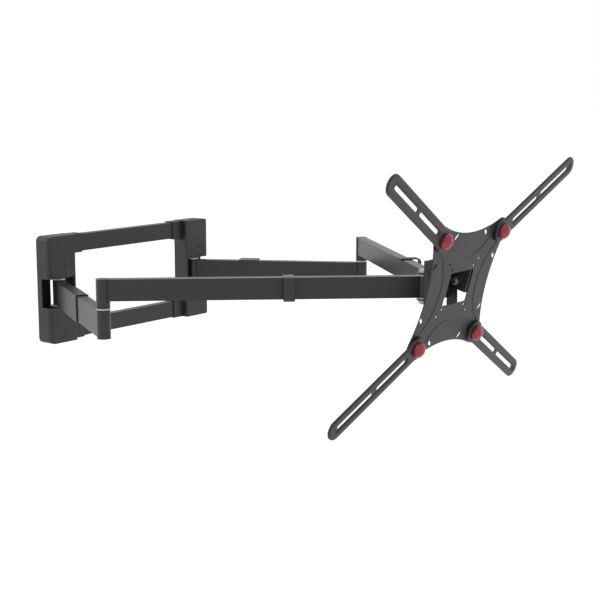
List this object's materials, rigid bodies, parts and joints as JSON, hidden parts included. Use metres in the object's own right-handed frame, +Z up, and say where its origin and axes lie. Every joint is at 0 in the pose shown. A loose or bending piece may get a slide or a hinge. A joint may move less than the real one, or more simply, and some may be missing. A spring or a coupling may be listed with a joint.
{
  "type": "full motion tv wall mount",
  "caption": "Wall mount with a two-column wall frame, two folding arms, a swivel and tilt head, and a display plate with adapter arms.",
  "frame": {"origin": "On the wall plane, at the centre of the rectangle of lag bolt slots, midway between the two columns.", "axes": "+X along the wall, +Y into the wall so that the mount stands out towards -Y, +Z up."},
  "size_m": [0.8202, 0.9114, 0.4435],
  "materials": {
    "frame_steel": "satin black powder coat",
    "arm_steel": "satin black powder coat",
    "head_steel": "matte black powder coat",
    "plate_steel": "satin charcoal powder coat",
    "adapter_steel": "satin charcoal powder coat",
    "cover_plastic": "fine textured black moulding",
    "clip_plastic": "satin black moulding",
    "cap_plastic": "satin black moulding",
    "knob_red": "smooth glossy red moulding",
    "nylon": "natural nylon",
    "fastener_zinc": "zinc plated"
  },
  "bodies": {
    "wall_frame": {"left_channel": "frame_steel", "right_channel": "frame_steel", "top_rail": "frame_steel", "bottom_rail": "frame_steel", "rail_screws": "fastener_zinc", "left_cover": "cover_plastic", "right_cover": "cover_plastic", "shoulder_pins": "fastener_zinc", "shoulder_nuts": "fastener_zinc"},
    "left_first_arm": {"left_first_arm": "arm_steel", "left_shoulder_bushes": "nylon", "left_first_clip": "clip_plastic", "left_elbow_pin": "fastener_zinc", "left_elbow_nut": "fastener_zinc", "left_bottom_cap": "cap_plastic"},
    "right_first_arm": {"right_first_arm": "arm_steel", "right_shoulder_bushes": "nylon", "right_first_clip": "clip_plastic", "right_elbow_pin": "fastener_zinc", "right_elbow_nut": "fastener_zinc", "right_bottom_cap": "cap_plastic"},
    "left_second_arm": {"left_second_arm": "arm_steel", "left_elbow_bushes": "nylon", "left_top_cap": "cap_plastic", "left_second_clip": "clip_plastic", "left_head_bush": "nylon"},
    "right_second_arm": {"right_second_arm": "arm_steel", "right_elbow_bushes": "nylon", "right_top_cap": "cap_plastic", "right_second_clip": "clip_plastic"},
    "head": {"swivel_yoke": "head_steel", "head_bolts": "fastener_zinc", "head_nuts": "fastener_zinc", "head_washers": "nylon"},
    "display_side": {"display_plate": "plate_steel", "tilt_bracket": "head_steel", "tilt_bolts": "fastener_zinc", "tilt_nuts": "fastener_zinc", "tilt_washers": "nylon", "knob_nuts": "fastener_zinc"},
    "upper_left_adapter": {"upper_left_adapter": "adapter_steel"},
    "upper_left_knob": {"upper_left_knob": "knob_red", "upper_left_stud": "fastener_zinc"},
    "upper_right_adapter": {"upper_right_adapter": "adapter_steel"},
    "upper_right_knob": {"upper_right_knob": "knob_red", "upper_right_stud": "fastener_zinc"},
    "lower_left_adapter": {"lower_left_adapter": "adapter_steel"},
    "lower_left_knob": {"lower_left_knob": "knob_red", "lower_left_stud": "fastener_zinc"},
    "lower_right_adapter": {"lower_right_adapter": "adapter_steel"},
    "lower_right_knob": {"lower_right_knob": "knob_red", "lower_right_stud": "fastener_zinc"}
  },
  "joints": [
    {"name": "left_shoulder", "type": "hinge", "parent": "wall_frame", "child": "left_first_arm", "pos_m": [-0.2032, -0.024, 0], "axis": [0, 0, -1], "range_deg": [-10, 54]},
    {"name": "left_elbow", "type": "hinge", "parent": "left_first_arm", "child": "left_second_arm", "pos_m": [-0.39767, -0.35813, 0], "axis": [0, 0, 1], "range_deg": [-18, 97]},
    {"name": "right_shoulder", "type": "hinge", "parent": "wall_frame", "child": "right_first_arm", "pos_m": [0.2032, -0.024, 0], "axis": [0, 0, 1], "range_deg": [-10, 54]},
    {"name": "right_elbow", "type": "hinge", "parent": "right_first_arm", "child": "right_second_arm", "pos_m": [0.39767, -0.35813, 0], "axis": [0, 0, -1], "range_deg": [-18, 97]},
    {"name": "head_swivel", "type": "hinge", "parent": "left_second_arm", "child": "head", "pos_m": [-0.018, -0.78462, 0], "axis": [0, 0, -1], "range_deg": [-8, 43]},
    {"name": "tilt", "type": "hinge", "parent": "head", "child": "display_side", "pos_m": [0, -0.82102, 0.0627], "axis": [1, 0, 0], "range_deg": [-20, 0]},
    {"name": "upper_left_swing", "type": "hinge", "parent": "display_side", "child": "upper_left_adapter", "pos_m": [-0.1, -0.87105, 0.15282], "axis": [0, 0.9659, 0.2588], "range_deg": [-25, 45]},
    {"name": "upper_left_knob_turn", "type": "hinge", "parent": "display_side", "child": "upper_left_knob", "pos_m": [-0.1, -0.87105, 0.15282], "axis": [0, -0.9659, -0.2588], "continuous": true},
    {"name": "upper_right_swing", "type": "hinge", "parent": "display_side", "child": "upper_right_adapter", "pos_m": [0.1, -0.87105, 0.15282], "axis": [0, -0.9659, -0.2588], "range_deg": [-25, 45]},
    {"name": "upper_right_knob_turn", "type": "hinge", "parent": "display_side", "child": "upper_right_knob", "pos_m": [0.1, -0.87105, 0.15282], "axis": [0, -0.9659, -0.2588], "continuous": true},
    {"name": "lower_left_swing", "type": "hinge", "parent": "display_side", "child": "lower_left_adapter", "pos_m": [-0.1, -0.81929, -0.04036], "axis": [0, -0.9659, -0.2588], "range_deg": [-25, 45]},
    {"name": "lower_left_knob_turn", "type": "hinge", "parent": "display_side", "child": "lower_left_knob", "pos_m": [-0.1, -0.81929, -0.04036], "axis": [0, -0.9659, -0.2588], "continuous": true},
    {"name": "lower_right_swing", "type": "hinge", "parent": "display_side", "child": "lower_right_adapter", "pos_m": [0.1, -0.81929, -0.04036], "axis": [0, 0.9659, 0.2588], "range_deg": [-25, 45]},
    {"name": "lower_right_knob_turn", "type": "hinge", "parent": "display_side", "child": "lower_right_knob", "pos_m": [0.1, -0.81929, -0.04036], "axis": [0, -0.9659, -0.2588], "continuous": true}
  ],
  "couplings": [
    {"joint": "left_elbow", "follows": "left_shoulder", "ratio": 1.795},
    {"joint": "right_shoulder", "follows": "left_shoulder", "ratio": 1},
    {"joint": "right_elbow", "follows": "left_shoulder", "ratio": 1.795},
    {"joint": "head_swivel", "follows": "left_shoulder", "ratio": 0.795}
  ]
}
